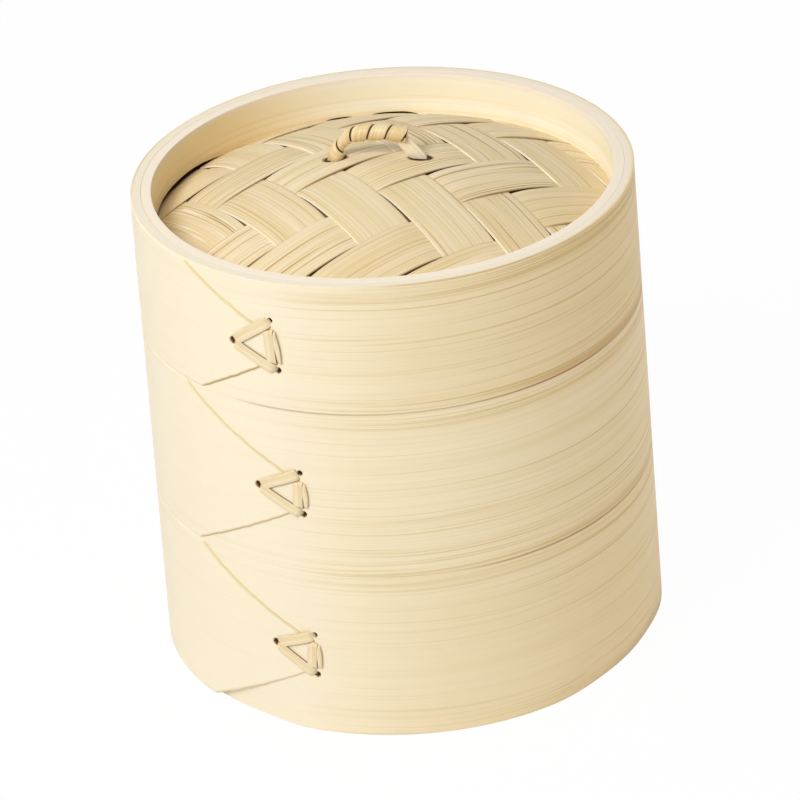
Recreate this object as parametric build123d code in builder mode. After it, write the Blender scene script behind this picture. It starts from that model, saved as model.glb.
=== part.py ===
"""Bamboo steamer basket: two stacked tiers with slatted floors under a woven, domed lid.

Millimetres, +Z up, origin at the centre of the base.  Every hoop, slat, bar, woven strip,
lacing and handle piece is a separate solid.
"""
import os
from math import cos, hypot, pi, radians, sin, sqrt, tan

from build123d import *

# Heights of the three stacked pieces
tier_height = 54.0
lid_height = 39.5

# Hoops: one common bore, with a wall of its own for each piece
hoop_bore_radius = 71.3
lower_wall = 4.5
upper_wall = 3.7
lid_wall = 3.1
hoop_edge_round = 0.5
liner_thickness = 2.8
spigot_clearance = 0.3
pressed_clearance = 0.1

# Stacking joint: a liner stands out of the top of each tier and enters the socket above it
spigot_height = 5.5
socket_depth = 6.0

# Slatted floor of a tier
floor_ring_thickness = 4.6
floor_ring_height = 4.0
slat_count = 9
slat_gap = 3.6
slat_thickness = 2.6
slat_edge_round = 0.8
bar_inset = 37.0
bar_width = 8.0
bar_thickness = 2.2
fit_clearance = 0.2

# Lap of each outer hoop: a pointed tongue, raised by the strip's thickness
lap_rise = 0.7
lap_tip_width = 5.0
lap_half_angle = 30.0
lower_lap_angle = -128.5
upper_lap_angle = -129.0
lid_lap_angle = -128.8

# Lacing through the lap: two slanting strands and an upright one
lace_length = 14.0
lace_height = 13.6
lace_drop = 1.2
lace_width = 2.8
lace_thickness = 0.9
lace_hole_radius = 1.3

# Woven dome of the lid
weave_depth = 13.6
dome_rise = 16.4
weave_angle = 30.0
strip_count_across = 7.84
strip_gap = 1.6
strip_thickness = 0.6
strip_lift = 0.95
strip_ramp = 3.3
strips_each_way = 9
weft_shift_ratio = -0.3
warp_shift_ratio = -0.095
twill_repeat = 4

# Cane handle on the dome
handle_shift = 3.7
handle_turn = -10.0
handle_feet = (-13.0, 12.0)
handle_shoulders = (-9.8, 7.4)
handle_height = 8.6
handle_bend_radius = 4.5
cane_radius = 1.3
wrap_radius = 0.65
wrap_turns = 6
wrap_start_height = 2.2
wrap_end_before_shoulder = 1.0
key_overhang = 4.0
key_width = 7.0
key_thickness = 2.4
knot_radius = 2.6
knot_height = 2.0

# Derived sizes
lower_base = 0.0
upper_base = lower_base + tier_height
lid_base = upper_base + tier_height
lid_top = lid_base + lid_height
spigot_radius = hoop_bore_radius - spigot_clearance
spigot_bore = spigot_radius - liner_thickness
lid_liner_radius = hoop_bore_radius - pressed_clearance
lid_liner_bore = spigot_bore
clip_radius = hoop_bore_radius - fit_clearance
slat_pitch = 2 * spigot_bore / slat_count
slat_width = slat_pitch - slat_gap
bar_spacing = 2 * (spigot_bore - bar_inset)
slat_base = socket_depth + floor_ring_height
liner_base = slat_base + slat_thickness
weave_reach = strip_lift + strip_thickness / 2
upper_liner_base = lid_top - weave_depth
strip_pitch = 2 * lid_liner_bore / strip_count_across
strip_width = strip_pitch - strip_gap
weft_shift = weft_shift_ratio * strip_pitch
warp_shift = warp_shift_ratio * strip_pitch
strip_sag = dome_rise * (strip_width / 2 / lid_liner_bore) ** 2
dome_edge = upper_liner_base - weave_reach - strip_sag - fit_clearance

os.makedirs("parts", exist_ok=True)


def save(part, name):
    part.label = name
    export_step(part, f"parts/{name}.step")


def dome_height(radius):
    """Height of the middle of the weave: a paraboloid that falls to its edge at the liner."""
    return dome_edge + dome_rise * (1 - (radius / lid_liner_bore) ** 2)


def lap_plane(angle, base, height):
    """Upright plane through the hoop's axis, facing the middle of the lap."""
    outward = Vector(cos(radians(angle)), sin(radians(angle)), 0)
    along = Vector(-outward.Y, outward.X, 0)
    return Plane(origin=(0, 0, base + height / 2), x_dir=along, z_dir=outward)


def lap_centre(angle, base):
    """Centre of the raised lap, moved off the hoop's axis by the strip's thickness."""
    return Plane(origin=(lap_rise * cos(radians(angle)), lap_rise * sin(radians(angle)), base))


def lap_half_length(height):
    """Half the length of the lap's taper, from the full height of the hoop to its blunt tip."""
    return (height - lap_tip_width) / 4 / tan(radians(lap_half_angle))


def lace_holes(height):
    """Three lacing holes on the lap: the left one, and the lower and upper right ones."""
    right = lap_half_length(height)
    upper = lace_height / 2 - lace_drop
    return (right - lace_length, -lace_drop), (right, upper - lace_height), (right, upper)


def lace_planes(angle, base, height, wall):
    """Upright planes through the hoop's axis, each facing one lacing hole."""
    planes = []
    for along, up in lace_holes(height):
        turn = radians(angle) + along / (hoop_bore_radius + wall)
        outward = Vector(cos(turn), sin(turn), 0)
        planes.append(Plane(origin=(0, 0, base + height / 2 + up), z_dir=outward))
    return planes


def outer_hoop(name, base, height, wall, angle):
    """Bent hoop with its pointed lap, and the holes for the lacing."""
    radius = hoop_bore_radius + wall
    tail = radius + lap_rise
    half = height / 2
    tip = lap_half_length(height)
    with BuildPart() as hoop:
        with BuildSketch(lap_plane(angle, base, height)):
            with BuildLine():
                Polyline(
                    (-tail, -half),
                    (-tip, -half),
                    (tip, -lap_tip_width / 2),
                    (tip, lap_tip_width / 2),
                    (-tip, half),
                    (-tail, half),
                    close=True,
                )
            make_face()
        extrude(amount=radius + wall)
        with BuildSketch(lap_centre(angle, base)):
            Circle(radius)
        extrude(amount=height, mode=Mode.INTERSECT)
        with BuildSketch(Plane.XY.offset(base)):
            Circle(radius)
        extrude(amount=height)
        with BuildSketch(Plane.XY.offset(base)):
            Circle(hoop_bore_radius)
        extrude(amount=height, mode=Mode.SUBTRACT)
        for plane in lace_planes(angle, base, height, wall):
            with BuildSketch(plane):
                Circle(lace_hole_radius + fit_clearance)
            extrude(amount=radius + wall, mode=Mode.SUBTRACT)
        chamfer(hoop.edges().filter_by(GeomType.CIRCLE).group_by(SortBy.RADIUS)[0], hoop_edge_round)
    save(hoop.part, name)


def lap_stitch(name, base, height, wall, angle):
    """Rattan lacing: two slanting strands and an upright one, with ends in the hoop's holes."""
    radius = hoop_bore_radius + wall + fit_clearance
    with BuildPart() as stitch:
        with BuildSketch(lap_plane(angle, base, height)):
            triangle = Polygon(*lace_holes(height), align=None, mode=Mode.PRIVATE)
            offset(triangle, amount=lace_width / 2)
            offset(triangle, amount=-lace_width / 2, mode=Mode.SUBTRACT)
        extrude(amount=radius + wall)
        with BuildSketch(lap_centre(angle, base)):
            Circle(radius + lace_thickness)
        extrude(amount=height, mode=Mode.INTERSECT)
        with BuildSketch(lap_centre(angle, base)):
            Circle(radius)
        extrude(amount=height, mode=Mode.SUBTRACT)
        for plane in lace_planes(angle, base, height, wall):
            with BuildSketch(plane.offset(hoop_bore_radius + fit_clearance)):
                Circle(lace_hole_radius)
            extrude(amount=wall + lap_rise + lace_thickness / 2)
    save(stitch.part, name)


def plain_hoop(name, base, height, radius, bore):
    """Bent liner hoop with eased edges."""
    with BuildPart() as hoop:
        with BuildSketch(Plane.XY.offset(base)):
            Circle(radius)
            Circle(bore, mode=Mode.SUBTRACT)
        extrude(amount=height)
        chamfer(hoop.edges().filter_by(GeomType.CIRCLE).group_by(Axis.Z)[-1], hoop_edge_round)
    save(hoop.part, name)


def floor_ring(name, base):
    """Ring under the slat ends, notched in its top for the two cross bars."""
    with BuildPart() as ring:
        with BuildSketch(Plane.XY.offset(base)):
            Circle(clip_radius)
            Circle(clip_radius - floor_ring_thickness, mode=Mode.SUBTRACT)
        extrude(amount=floor_ring_height)
        with BuildSketch(Plane.XY.offset(base + floor_ring_height)):
            with GridLocations(bar_spacing, 0, 2, 1):
                Rectangle(bar_width + 2 * fit_clearance, 2 * hoop_bore_radius)
        extrude(amount=-bar_thickness, mode=Mode.SUBTRACT)
    save(ring.part, name)


def cross_bar(name, base, side):
    """Bar under the slats, with ends that lie in the floor ring's notches."""
    with BuildPart() as bar:
        with BuildSketch(Plane.XY.offset(base + floor_ring_height)):
            with Locations((side * bar_spacing / 2, 0)):
                Rectangle(bar_width, 2 * hoop_bore_radius)
            Circle(clip_radius, mode=Mode.INTERSECT)
        extrude(amount=-bar_thickness)
        fillet(bar.edges().filter_by(Axis.Y).group_by(Axis.Z)[0], slat_edge_round)
    save(bar.part, name)


def floor_slat(name, base, offset):
    """Slat of split bamboo with rounded upper edges and ends cut on the hoop's curve."""
    with BuildPart() as slat:
        with BuildSketch(Plane.XY.offset(base)):
            with Locations((0, offset)):
                Rectangle(2 * hoop_bore_radius, slat_width)
            Circle(clip_radius, mode=Mode.INTERSECT)
        extrude(amount=slat_thickness)
        fillet(slat.edges().filter_by(Axis.X).group_by(Axis.Z)[-1], slat_edge_round)
    save(slat.part, name)


def tier(prefix, base, wall, angle):
    """One basket: outer hoop, liner that forms the spigot, slatted floor and lacing."""
    outer_hoop(f"{prefix}_outer_hoop", base, tier_height, wall, angle)
    lap_stitch(f"{prefix}_lap_stitch", base, tier_height, wall, angle)
    liner_height = tier_height + spigot_height - liner_base
    plain_hoop(f"{prefix}_liner_hoop", base + liner_base, liner_height, spigot_radius, spigot_bore)
    floor_ring(f"{prefix}_floor_ring", base + socket_depth)
    for number, side in ((1, -1), (2, 1)):
        cross_bar(f"{prefix}_cross_bar_{number}", base + socket_depth, side)
    for number in range(slat_count):
        offset = (number - (slat_count - 1) / 2) * slat_pitch
        floor_slat(f"{prefix}_slat_{number + 1}", base + slat_base, offset)


def weave_frame():
    """Unit vectors of the weave in plan: along the weft, and along the warp."""
    turn = radians(weave_angle)
    return Vector(cos(turn), sin(turn), 0), Vector(-sin(turn), cos(turn), 0)


def strip_numbers():
    half = strips_each_way // 2
    return range(-half, strips_each_way - half)


def warp_on_top(weft_number, warp_number):
    """Two-over, two-under twill that moves by one strip at each row."""
    return (weft_number + warp_number) % twill_repeat >= twill_repeat / 2


def strip_middle_line(levels, crossing_shift, offset):
    """Over-and-under line along a strip: (distance, height) at each bend and crossing."""
    line = []
    for number, level in levels:
        centre = crossing_shift + number * strip_pitch
        reach = (strip_pitch - strip_ramp) / 2
        for place in (centre - reach, centre, centre + reach):
            height = dome_height(hypot(place, offset)) + level * strip_lift
            line.append((place, height))
    return line


def handle_axes():
    """Handle's plane: its origin on the crown of the dome, x along the bar, y upwards."""
    turn = radians(handle_turn)
    along = Vector(cos(turn), sin(turn), 0)
    return Plane(
        origin=(0, handle_shift, dome_height(handle_shift) + weave_reach),
        x_dir=along,
        z_dir=along.cross(Vector(0, 0, 1)),
    )


def foot_places():
    plane = handle_axes()
    return [plane.from_local_coords(Vector(foot, 0, 0)) for foot in handle_feet]


def weave_strip(name, levels, crossing_shift, offset, along, across):
    """Flat strip: its over-and-under profile, drawn out across its width on the dome's slope."""
    line = strip_middle_line(levels, crossing_shift, offset)
    half = strip_thickness / 2
    upper = [(place, height + half) for place, height in line]
    lower = [(place, height - half) for place, height in reversed(line)]
    slope = -2 * dome_rise * offset / lid_liner_bore**2
    drawn = across + Vector(0, 0, slope)
    centre = across * offset
    with BuildPart() as strip:
        with BuildSketch(Plane(origin=centre, x_dir=along, z_dir=along.cross(Vector(0, 0, 1)))):
            with BuildLine():
                Polyline(*upper, *lower, close=True)
            make_face()
        extrude(amount=strip_width / 2 * drawn.length, dir=drawn, both=True)
        with BuildSketch(Plane.XY.offset(lid_base)):
            Circle(clip_radius)
        extrude(amount=2 * lid_height, mode=Mode.INTERSECT)
        for foot in foot_places():
            if abs(foot.dot(across) - offset) < strip_width / 2 + cane_radius:
                with BuildSketch(Plane(origin=(foot.X, foot.Y, lid_base))):
                    Circle(cane_radius + fit_clearance)
                extrude(amount=2 * lid_height, mode=Mode.SUBTRACT)
    save(strip.part, name)


def woven_dome():
    """Weft strips and warp strips in a two-by-two twill."""
    weft_axis, warp_axis = weave_frame()
    for place, weft in enumerate(strip_numbers()):
        levels = [(warp, -1 if warp_on_top(weft, warp) else 1) for warp in strip_numbers()]
        offset = weft_shift + weft * strip_pitch
        weave_strip(f"lid_weft_strip_{place + 1}", levels, warp_shift, offset, weft_axis, warp_axis)
    for place, warp in enumerate(strip_numbers()):
        levels = [(-weft, 1 if warp_on_top(weft, warp) else -1) for weft in reversed(strip_numbers())]
        offset = warp_shift + warp * strip_pitch
        weave_strip(f"lid_warp_strip_{place + 1}", levels, -weft_shift, offset, -warp_axis, weft_axis)


def handle_points():
    """Bent line of the cane from one end below the weave to the other, in the handle's plane."""
    left, right = handle_feet
    inner, outer = handle_shoulders
    drop = knot_top() - handle_axes().origin.Z
    return [(left, drop), (left, 0), (inner, handle_height), (outer, handle_height), (right, 0), (right, drop)]


def key_top():
    """Upper face of the key, clear of the weave above its far corners."""
    far = max(abs(foot) for foot in handle_feet) + key_overhang
    corner = hypot(far, handle_shift + key_width / 2)
    return dome_height(corner) - weave_reach - strip_sag - fit_clearance


def knot_top():
    return key_top() - key_thickness - fit_clearance


def handle_core():
    """Bent cane with a knot on each end, below the key that holds it to the weave."""
    plane = handle_axes()
    points = handle_points()
    with BuildPart() as core:
        with BuildLine(plane) as bend:
            FilletPolyline(*points, radius=handle_bend_radius)
        with BuildSketch(Plane(origin=bend.line @ 0, z_dir=bend.line % 0)):
            Circle(cane_radius)
        sweep(path=bend.line)
        for foot in foot_places():
            with BuildSketch(Plane(origin=(foot.X, foot.Y, knot_top()))):
                Circle(knot_radius)
            extrude(amount=-knot_height)
    save(core.part, "lid_handle_core")
    return bend.wire()


def handle_key():
    """Flat key under the weave, with a hole for each leg of the handle."""
    plane = handle_axes()
    left, right = handle_feet
    with BuildPart() as key:
        with BuildSketch(Plane(origin=(0, handle_shift, key_top()), x_dir=plane.x_dir)):
            with Locations(((left + right) / 2, 0)):
                SlotOverall(right - left + 2 * key_overhang, key_width)
            with Locations((left, 0), (right, 0)):
                Circle(cane_radius + fit_clearance, mode=Mode.SUBTRACT)
        extrude(amount=-key_thickness)
    save(key.part, "lid_handle_key")


def biarc_joint(start, start_way, end, end_way):
    """Meeting point of the two arcs that leave start and reach end along the given ways."""
    chord = end - start
    ways = start_way + end_way
    bend = 2 * (1 - start_way.dot(end_way))
    lean = chord.dot(ways)
    reach = (sqrt(lean**2 + bend * chord.dot(chord)) - lean) / bend
    joint = (start + end + (start_way - end_way) * reach) * 0.5
    joint_way = (end - end_way * reach - start - start_way * reach).normalized()
    return joint, joint_way


def handle_wrap(bend):
    """Cane wound along the handle in one unbroken run, from the left foot over the bar."""
    plane = handle_axes()
    turn_radius = cane_radius + pressed_clearance + wrap_radius
    leg = knot_top() - plane.origin.Z
    first = wrap_start_height - leg
    slant = hypot(handle_shoulders[0] - handle_feet[0], handle_height)
    bar = handle_shoulders[1] - handle_shoulders[0] - wrap_end_before_shoulder
    last = -leg + slant + bar
    quarter_count = 4 * wrap_turns

    def wound(turns):
        share = (first + (last - first) * turns / wrap_turns) / bend.length
        side = bend % share
        outward = plane.z_dir * cos(2 * pi * turns) + side.cross(plane.z_dir) * sin(2 * pi * turns)
        return bend @ share + outward * turn_radius

    step = 0.001
    stops = [quarter / 4 for quarter in range(quarter_count + 1)]
    places = [wound(turns) for turns in stops]
    ways = [(wound(turns + step) - wound(turns - step)).normalized() for turns in stops]
    with BuildPart() as wrap:
        with BuildLine() as run:
            Line(places[0] - ways[0] * 2 * wrap_radius, places[0])
            for number in range(quarter_count):
                start, end = places[number], places[number + 1]
                joint, joint_way = biarc_joint(start, ways[number], end, ways[number + 1])
                TangentArc(start, joint, tangent=ways[number])
                TangentArc(joint, end, tangent=joint_way)
            Line(places[-1], places[-1] + ways[-1] * 2 * wrap_radius)
        with BuildSketch(Plane(origin=run.line @ 0, z_dir=run.line % 0)):
            Circle(wrap_radius)
        sweep(path=run.line)
    save(wrap.part, "lid_handle_wrap")
    print("handle wrap: least gap to itself", round(least_gap(run.wire()), 2), "mm")


def least_gap(line):
    """Smallest clear space between turns, over points more than half a turn apart."""
    samples = 24 * wrap_turns
    points = [line @ (number / samples) for number in range(samples + 1)]
    half_turn = samples // wrap_turns // 2
    spans = [
        (points[first] - points[second]).length
        for first in range(samples + 1)
        for second in range(first + half_turn, samples + 1)
    ]
    return min(spans) - 2 * wrap_radius


def lid():
    """Lid: outer hoop, two liners that clamp the woven dome, lacing and handle."""
    outer_hoop("lid_outer_hoop", lid_base, lid_height, lid_wall, lid_lap_angle)
    lap_stitch("lid_lap_stitch", lid_base, lid_height, lid_wall, lid_lap_angle)
    plain_hoop("lid_upper_liner", upper_liner_base, weave_depth, lid_liner_radius, lid_liner_bore)
    lower_liner_base = lid_base + socket_depth
    lower_liner_top = dome_height(clip_radius) - weave_reach - fit_clearance
    lower_liner_height = lower_liner_top - lower_liner_base
    plain_hoop("lid_lower_liner", lower_liner_base, lower_liner_height, lid_liner_radius, lid_liner_bore)
    woven_dome()
    bend = handle_core()
    handle_key()
    handle_wrap(bend)


tier("lower", lower_base, lower_wall, lower_lap_angle)
tier("upper", upper_base, upper_wall, upper_lap_angle)
lid()
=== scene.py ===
"""Looks of a bamboo steamer basket: two stacked tiers under a woven, domed lid with a cane handle.

Lengths are in millimetres and become metres when a mesh is made.  Heights are above the base, and
angles are in degrees, anticlockwise from +X as seen from above.
"""

import bpy
import numpy as np
from mathutils import Matrix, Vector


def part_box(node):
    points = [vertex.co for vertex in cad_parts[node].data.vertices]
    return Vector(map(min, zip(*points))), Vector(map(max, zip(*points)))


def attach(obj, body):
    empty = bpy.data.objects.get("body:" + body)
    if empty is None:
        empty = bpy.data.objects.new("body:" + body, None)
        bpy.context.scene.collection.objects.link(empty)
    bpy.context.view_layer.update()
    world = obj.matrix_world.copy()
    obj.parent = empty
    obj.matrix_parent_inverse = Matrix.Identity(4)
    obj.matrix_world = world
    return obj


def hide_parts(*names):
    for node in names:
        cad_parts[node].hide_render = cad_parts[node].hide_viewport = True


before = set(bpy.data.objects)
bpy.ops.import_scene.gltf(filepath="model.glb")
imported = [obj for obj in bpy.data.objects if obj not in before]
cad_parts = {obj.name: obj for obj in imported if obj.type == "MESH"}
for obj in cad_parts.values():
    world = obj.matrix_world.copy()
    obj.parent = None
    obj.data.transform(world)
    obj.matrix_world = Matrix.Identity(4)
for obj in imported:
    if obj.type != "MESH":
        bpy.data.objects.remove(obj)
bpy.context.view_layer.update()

MM = 0.001

# Hoops and liners. An ease is the radius of a corner, open where it shows and pressed where it meets
# another hoop. Steps are in degrees round a hoop and in millimetres up its wall. A rim turns from skin to
# pale cut bamboo between the skin depths
HOOP_BORE = 71.25
LINER_BORE = 68.2
OPEN_EASE = 0.14
PRESSED_EASE = 0.05
HOOP_STEP = 0.9
WALL_STEP = 0.9
CORNER_POINTS = 5
RIM_POINTS = 9
HOOP_TAPER = 0.0138
SKIN_DEPTHS = (0.7, 1.5)

# Slow waves of a hoop's wall and rim: size, and number of swells round the hoop. The wall's second swell
# has a share of that size and leans with the height
WALL_WAVE = 0.05
WALL_SWELLS = (3, 7)
WALL_SECOND = 0.6
WALL_LEAN = 17.0
RIM_WAVE = 0.05
RIM_SWELLS = (2, 5)
RIM_LAG = 1.7

# Outer hoops: the body that each rides on, the phase of its waves and the look of its skin. lap is the
# angle of its lap, foot is how thick fibre lines crowd over the foot, band is how dark the brown painted
# shade along the foot is on the right, and warm is how golden the painted shade makes the right side
BODIES = {"lower": "lower_tier", "upper": "upper_tier", "lid": "lid"}
PHASES = {"lower": 0.4, "upper": 2.1, "lid": 3.9}
SKINS = {
    "lower": {"lap": -128.5, "foot": 0.3, "band": 0.25, "warm": 0.12},
    "upper": {"lap": -129.0, "foot": 0.9, "band": 0.35, "warm": 0.0},
    "lid": {"lap": -128.8, "foot": 0.9, "band": 0.77, "warm": 0.18},
}

# Bare skin round a lap, by the angle from it: how bare it is at most, where that comes, and where it goes
# in two steps, each with its share
BARE_MOST = 0.92
BARE_COMES = (-85.0, -35.0)
BARE_GOES = (((5.0, 35.0), 0.55), ((35.0, 95.0), 0.45))

# Angles between which the looks of a side come or go, among them the painted shade of the hoops' right
# side and of the liners' left. The looks of the right side end at the back
BACK = (100.0, 170.0)
FOOT_SHADE_COMES = (-80.0, -35.0)
WARM_COMES = (-105.0, -80.0)
LEFT_SHADE_COMES = (92.0, 138.0)
LEFT_SHADE_GOES = (-170.0, -110.0)

# Dark line of painted shadow along each outer hoop's upper edge, in the joint under the hoop above and on
# the rounded corner of the lid's rim: the angle where it starts, those between which it fades, and how
# dark it is. It comes to its full darkness in front, loses a share of it on the right, and reaches a
# little way down the wall
SEAM_SHADOWS = {
    "lower": (-75.0, (-30.0, -8.0), 0.75),
    "upper": (-126.0, BACK, 1.0),
    "lid": (-92.0, BACK, 0.35),
}
SEAM_REACH = 0.5
SEAM_EASE = 6.0
SEAM_FULL = (-90.0, -50.0)
SEAM_THIN = (-50.0, -28.0)
SEAM_LOSS = 0.6

# How far each outer hoop's lower and upper edges are drawn down
EDGE_DROPS = {"lower": (0.0, 0.25), "upper": (0.25, 0.8), "lid": (0.8, 0.0)}

# Places where the foot of the lowest hoop is pressed in: angle, half the width in degrees, and depth
FOOT_DENTS = ((-136.0, 14.0, 1.4), (-33.0, 19.0, 1.25))
FOOT_DENT_HEIGHT = 9.0

# Fibre lines of an outer hoop: where they crowd, from its upper edge down and from its foot up, and the
# least share of them that shows
LINE_DEPTH = 3.5
LINE_SPREAD = 2.6
FOOT_SPREAD = 10.0
# Height over which the brown painted shade along the foot dies away
FOOT_SHADE_HEIGHT = 2.6
LINED_LEAST = 0.55

# Lap of each outer hoop: a pointed tongue raised over the start of the strip. The leads say how much
# sooner each lap's upper and lower tapers start, and the lips how dark the brown painted shadow under
# its lower edge is; its upper edge has a painted highlight. Teeth are the sine waves of the ragged
# edge: frequency and phase
LAP_RISE = 0.38
LAP_SINK = 0.15
LAP_TIP_WIDTH = 8.5
LAP_TIP_DROP = 0.9
LAP_HALF_ANGLE = 28.6
LAP_TAIL = 95.0
LAP_EASE = 0.18
LAP_INSET = 0.2
LAP_ROOT = 2.4
LAP_LEADS = {"lower": (0.0, 0.0), "upper": (0.0, 0.0), "lid": (2.4, -1.8)}
LAP_LIP_SHADOWS = {"lower": 0.45, "upper": 0.85, "lid": 1.3}
LAP_LIP_START = 0.03
LAP_BAND = 0.6
LAP_LOWER_BAND = 0.45
LAP_RAGGED = 0.05
LAP_TEETH = ((83, 0.0), (47, 1.0), (131, 0.0))
LAP_POINTS = 81
LAP_MIDDLE = 0.12
LAP_MIDDLE_POINTS = 25
LAP_LAST_STEP = 0.1

# Lacing of the lap. The holes are left, lower right and upper right: along the hoop and up from the lap's
# middle. The band runs between the two right holes, and the lens is a thin spare strand beside it
LACE_HOLES = {
    "lower": ((7.0, 1.0), (19.6, -7.6), (19.8, 5.8)),
    "upper": ((6.0, -0.4), (19.9, -7.7), (19.8, 5.8)),
    "lid": ((1.0, -1.3), (15.2, -8.2), (13.9, 7.4)),
}
# Each hole is a shallow dimple, darkened with painted shade
LACE_HOLE_RADII = (1.15, 1.0, 0.8)
LACE_HOLE_DEPTH = 1.6
LACE_HOLE_POWER = 10
LACE_HOLE_SHADE = (0.05, 0.35)
LACE_WIDTH = 3.5
LACE_THICKNESS = 0.55
LACE_SHORT = 0.4
LACE_DIP = 0.6
LACE_DIP_POWER = 1.6
LACE_SHADE = 0.42
LACE_POINTS = 61
LACE_BAND = ((-0.6, -2.0), (-1.3, 1.2))
LACE_BAND_WIDTH = 3.2
LACE_LENS = ((1.2, -2.4), (1.4, 1.4))
LACE_LENS_WIDTH = 1.6
LACE_LENS_ENDS = (0.1, 0.9)

# Finer steps round a lacing hole, up the wall and round the hoop: how far they reach on each side, and
# the step
FINE_WALL = (2.0, 0.2)
FINE_TURN = (1.6, 0.15)

# Sections of cane: points round one, and the powers that make a flat strand's edges and faces
CANE_POINTS = 24
FLAT_EDGE_POWER = 0.45
FLAT_FACE_POWER = 0.6

# Woven dome
WEAVE_ANGLE = 30.0
STRIP_PITCH = 17.398
STRIP_WIDTH = 16.9
STRIP_THICKNESS = 0.7
STRIP_LIFT = 0.8
STRIP_PRESSED = 0.6
STRIP_PRESSED_RIM = 9.0
STRIP_FLATNESS = 2.2
STRIP_CROWN = 0.11
STRIPS_EACH_WAY = 9
TWILL_REPEAT = 4
WEFT_SHIFT = -5.22
WARP_SHIFT = -1.65
WEAVE_CLIP = 71.1
WEAVE_CLIP_MARGIN = 0.4
DOME_EDGE = 133.6
DOME_RISE = 16.6

# Section of a strip, as shares of its width and thickness: where its faces and their eased sides end, and
# where its cut edges do
STRIP_STATIONS = 241
STRIP_FACE = 0.45
STRIP_FACE_POINTS = 21
STRIP_SIDE = 0.482
STRIP_EDGE = 0.28

# Slow waves along a strip, in its width, its line and its twist: size, and radians to half its length
WIDTH_WAVE = (0.008, 5)
SWAY_WAVE = (0.14, 3)
TWIST_WAVE = (0.07, 9)

# Looks that differ from strip to strip, and shade where one dips, along the weft's edges and at the ends
STRIP_TONES = (0.0, 0.5)
STRIP_STREAKS = (0.25, 0.95)
STRIP_FIBRE_SHIFT = 900.0
DIP_SHADE = (0.05, 0.6)
DIP_DARKNESS = 0.9
WEFT_EDGE_DARKNESS = 0.55
STRIP_END_SHADE = 1.0

# Slots in the weave for the handle's legs: shallow dents, darkened with painted shade
FOOT_HOLE_LENGTH = 3.7
FOOT_HOLE_WIDTH = 2.2
FOOT_HOLE_FORWARD = 0.6
FOOT_HOLE_DEPTH = 0.5
FOOT_HOLE_POWER = 8
FOOT_HOLE_SHADE = (0.1, 0.45)

# Liners of the lid: how far the upper one reaches down and the lower one is raised. The hoop behind them
# has painted shade for some way above and below the weave's edge
LINER_DROP = -0.1
LINER_RAISED = 1.2
WEAVE_SHADOW = 4.0

# Slits where the lid's upper liner stands off the weave: angle, half the width in degrees, and height.
# They die away above the liner's lower edge
LINER_SLITS = ((86.0, 6.0, 1.05), (100.0, 4.0, 0.85), (155.0, 17.0, 1.6))
LINER_FADE = 8.0

# Cane handle, in a plane of its own: along it and up from the top of the weave
HANDLE_SHIFT = 3.7
HANDLE_TURN = -10.0
HANDLE_BASE = 149.8
HANDLE_FEET = (-13.6, 11.8)
HANDLE_SHOULDERS = (-8.8, 8.2)
HANDLE_ELBOW = (0.9, 4.2)
HANDLE_HEIGHT = 7.9
HANDLE_ARCH = 1.0
CORNER_CUTS = 5
KNOT_TOP = -6.64
KNOT_BOTTOM = -8.64
KNOT_RADIUS = 2.6
KNOT_LEVELS = 13
KNOT_POWER = 3

# Radius of the cane under its winding, and the heights between which it changes to that of the foot, the
# neck and the bar. Between the turns of the winding it is darkened with painted shade from the hollow's
# height up
CANE_RADIUS = 1.75
CANE_NECK_RADIUS = 1.05
CANE_FOOT_RADIUS = 1.75
CANE_LEG_RADIUS = 1.35
CANE_FOOT_LEVELS = (-2.5, -1.0)
CANE_NECK_LEVELS = (2.6, 4.2)
CANE_BAR_LEVELS = (6.2, 8.3)
CANE_SHADE_LEVELS = (-1.0, 0.0)

# Bare right leg, flat above the weave: its root and knee from the shoulder, its ankle and heel from the
# foot, and the ends of the straight stretch, as shares of the way from knee to ankle
LEG_WIDTH = 4.3
LEG_THICKNESS = 1.6
LEG_SQUARENESS = 0.55
LEG_FLAT_LEVELS = (-3.4, -0.6)
LEG_ROOT = 5.0
LEG_KNEE = (-1.9, -0.7)
LEG_STRAIGHT = (0.2, 0.9)
LEG_ANKLE = (-0.2, 0.4)
LEG_HEEL = (0.3, -2.0)

# Winding of the handle. Its girth is its own radius over the cane's
WRAP_PITCH = 5.4
WRAP_WIDTH = 5.1
WRAP_THICKNESS = 0.7
WRAP_LAP = 0.3
WRAP_START = 1.2
WRAP_FOOT = -3.5
WRAP_RUN_OUT = 0.4
WRAP_SHADE = 0.4
WRAP_GIRTH = 1.4
WRAP_STEPS = 48
WRAP_POINTS = 28

# Camera of the photograph
CAMERA_DISTANCE = 1358.8
CAMERA_ELEVATION = 28.414
CAMERA_ORBIT_HEIGHT = 73.65
CAMERA_AIM = (0.03, 0.0, 70.9)
CAMERA_ROLL = -4.490
CAMERA_LENS = 202.6

# Studio. A lamp has an azimuth, an elevation, a distance, a size, a power and a colour
AMBIENT_LEVEL = 0.4
FLOOR_GLOW = 0.97
FLOOR_HALF = 6000.0
LAMPS = {
    "key_lamp": (-130, 46, 1500, 600, 14.2, "#FFFFFF"),
    "top_lamp": (120, 62, 1300, 500, 1.4, "#FFFFFF"),
    "right_fill_lamp": (-8, 0, 1100, 120, 1.32, "#FFDAAE"),
}

# Waxy bamboo and cane
BAMBOO_IOR = 1.5
RELIEF_STRENGTH = 0.5

# Sockets of a Mix node that mixes colours
MIX_SHARE = 0
MIX_FIRST = 6
MIX_SECOND = 7
MIX_COLOUR = 2

random = np.random.default_rng(7)


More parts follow.
